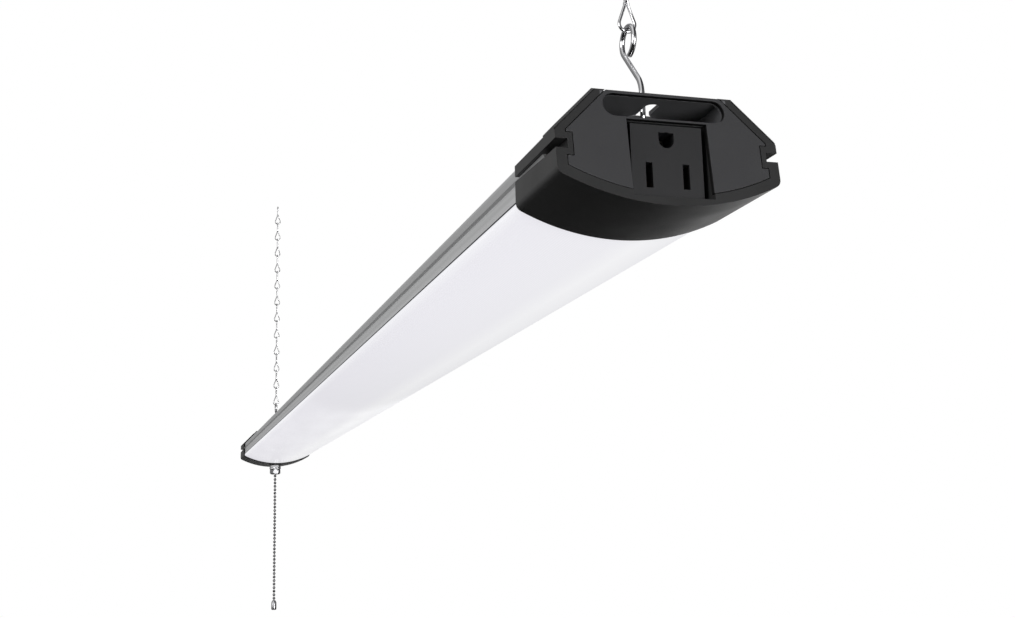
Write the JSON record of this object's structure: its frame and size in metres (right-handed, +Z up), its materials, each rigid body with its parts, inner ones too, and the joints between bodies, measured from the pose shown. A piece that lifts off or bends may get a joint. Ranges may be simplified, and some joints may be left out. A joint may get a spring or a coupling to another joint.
{
  "type": "hanging shop light",
  "caption": "Slim hanging work light: curved milky cover on an aluminium channel, black end caps, outlet in one end, pull-chain switch in the other, wire hooks and jack chains.",
  "frame": {"origin": "bearing point of the outlet end's chain: the inner crown of its top link", "axes": "+X along the lamp and out of the outlet end, +Y across the lamp, +Z up; the lamp hangs below and shines down"},
  "size_m": [1.1691, 0.076, 0.48],
  "materials": {
    "chain_steel": "bright zinc plated wire",
    "hook_steel": "bright zinc plated wire",
    "cap_plastic": "fine-textured black moulding",
    "plate_plastic": "fine-textured dark grey moulding",
    "outlet_plastic": "smooth dark grey moulding",
    "bushing_rubber": "soft black",
    "contact_brass": "stamped strip",
    "screw_steel": "dark plated",
    "housing_aluminium": "satin anodised extrusion",
    "diffuser_plastic": "milky plastic with fine lengthwise ribs",
    "board_white": "white aluminium-core board",
    "led_yellow": "phosphor-filled",
    "board_screw_steel": "pan head",
    "tray_plastic": "insulating film tray",
    "board_green": "solder mask",
    "transformer_yellow": "taped winding",
    "capacitor_blue": "sleeved can",
    "chip_black": "moulded package",
    "terminal_ivory": "moulded block",
    "wire_black": "insulated wire",
    "wire_white": "insulated wire",
    "wire_green": "insulated wire",
    "wire_red": "insulated wire",
    "switch_plastic": "moulded case",
    "switch_metal": "nickel plated",
    "bead_metal": "nickel plated"
  },
  "bodies": {
    "ceiling_links": {"near_top_link": "chain_steel", "far_top_link": "chain_steel"},
    "near_link": {"near_second_link": "chain_steel"},
    "near_chain": {"near_chain": "chain_steel"},
    "near_hook": {"near_hook": "hook_steel"},
    "lamp": {"outlet_cap": "cap_plastic", "outlet_face_plate": "plate_plastic", "outlet_block": "outlet_plastic", "line_contact": "contact_brass", "neutral_contact": "contact_brass", "ground_contact": "contact_brass", "switch_cap": "cap_plastic", "switch_face_plate": "plate_plastic", "cord_bushing": "bushing_rubber", "outlet_cap_screws": "screw_steel", "switch_cap_screws": "screw_steel", "channel": "housing_aluminium", "cover": "diffuser_plastic", "front_light_board": "board_white", "back_light_board": "board_white", "front_leds": "led_yellow", "back_leds": "led_yellow", "board_screws": "board_screw_steel", "driver_tray": "tray_plastic", "driver_board": "board_green", "driver_transformer": "transformer_yellow", "driver_capacitors": "capacitor_blue", "driver_chips": "chip_black", "terminal_block": "terminal_ivory", "line_wire": "wire_black", "neutral_wire": "wire_white", "ground_wire": "wire_green", "driver_leads": "wire_black", "board_leads": "wire_red", "switch_leads": "wire_black", "switch_body": "switch_plastic", "switch_bushing": "switch_metal", "switch_nut": "switch_metal", "switch_lock_nut": "switch_metal"},
    "far_link": {"far_second_link": "chain_steel"},
    "far_chain": {"far_chain": "chain_steel"},
    "far_hook": {"far_hook": "hook_steel"},
    "pull_stem": {"pull_stem": "switch_metal"},
    "top_bead": {"top_bead": "bead_metal"},
    "pull_chain": {"pull_chain": "bead_metal", "chain_fob": "bead_metal"}
  },
  "joints": [
    {"name": "sideways_swing", "type": "hinge", "parent": "ceiling_links", "child": "near_link", "pos_m": [0, 0, -0.0196], "axis": [1, 0, 0], "range_deg": [-25, 25]},
    {"name": "lengthwise_swing", "type": "hinge", "parent": "near_link", "child": "near_chain", "pos_m": [0, 0, -0.041], "axis": [0, 1, 0], "range_deg": [-25, 25]},
    {"name": "near_hook_level", "type": "hinge", "parent": "near_chain", "child": "near_hook", "pos_m": [0, 0, -0.2425], "axis": [0, 1, 0], "range_deg": [-25, 25]},
    {"name": "lamp_roll", "type": "hinge", "parent": "near_hook", "child": "lamp", "pos_m": [0.0055, 0, -0.27995], "axis": [1, 0, 0], "range_deg": [-10, 10]},
    {"name": "far_sideways", "type": "hinge", "parent": "ceiling_links", "child": "far_link", "pos_m": [-1.1052, 0, -0.0196], "axis": [1, 0, 0], "range_deg": [-25, 25]},
    {"name": "far_lengthwise", "type": "hinge", "parent": "far_link", "child": "far_chain", "pos_m": [-1.1052, 0, -0.041], "axis": [0, 1, 0], "range_deg": [-25, 25]},
    {"name": "far_hook_level", "type": "hinge", "parent": "far_chain", "child": "far_hook", "pos_m": [-1.1052, 0, -0.2425], "axis": [0, 1, 0], "range_deg": [-25, 25]},
    {"name": "chain_pull", "type": "slide", "parent": "lamp", "child": "pull_stem", "axis": [0, 0, -1], "range_m": [0, 0.008], "stiffness_N_per_m": 400, "springref_m": -0.004},
    {"name": "pull_swing_side", "type": "hinge", "parent": "pull_stem", "child": "top_bead", "pos_m": [-1.10834, 0, -0.32595], "axis": [1, 0, 0], "range_deg": [-45, 45]},
    {"name": "pull_swing_length", "type": "hinge", "parent": "top_bead", "child": "pull_chain", "pos_m": [-1.10834, 0, -0.32595], "axis": [0, 1, 0], "range_deg": [-45, 45]}
  ],
  "couplings": [
    {"joint": "near_hook_level", "follows": "lengthwise_swing", "ratio": -1},
    {"joint": "far_sideways", "follows": "sideways_swing", "ratio": 1},
    {"joint": "far_lengthwise", "follows": "lengthwise_swing", "ratio": 1},
    {"joint": "far_hook_level", "follows": "lengthwise_swing", "ratio": -1}
  ]
}
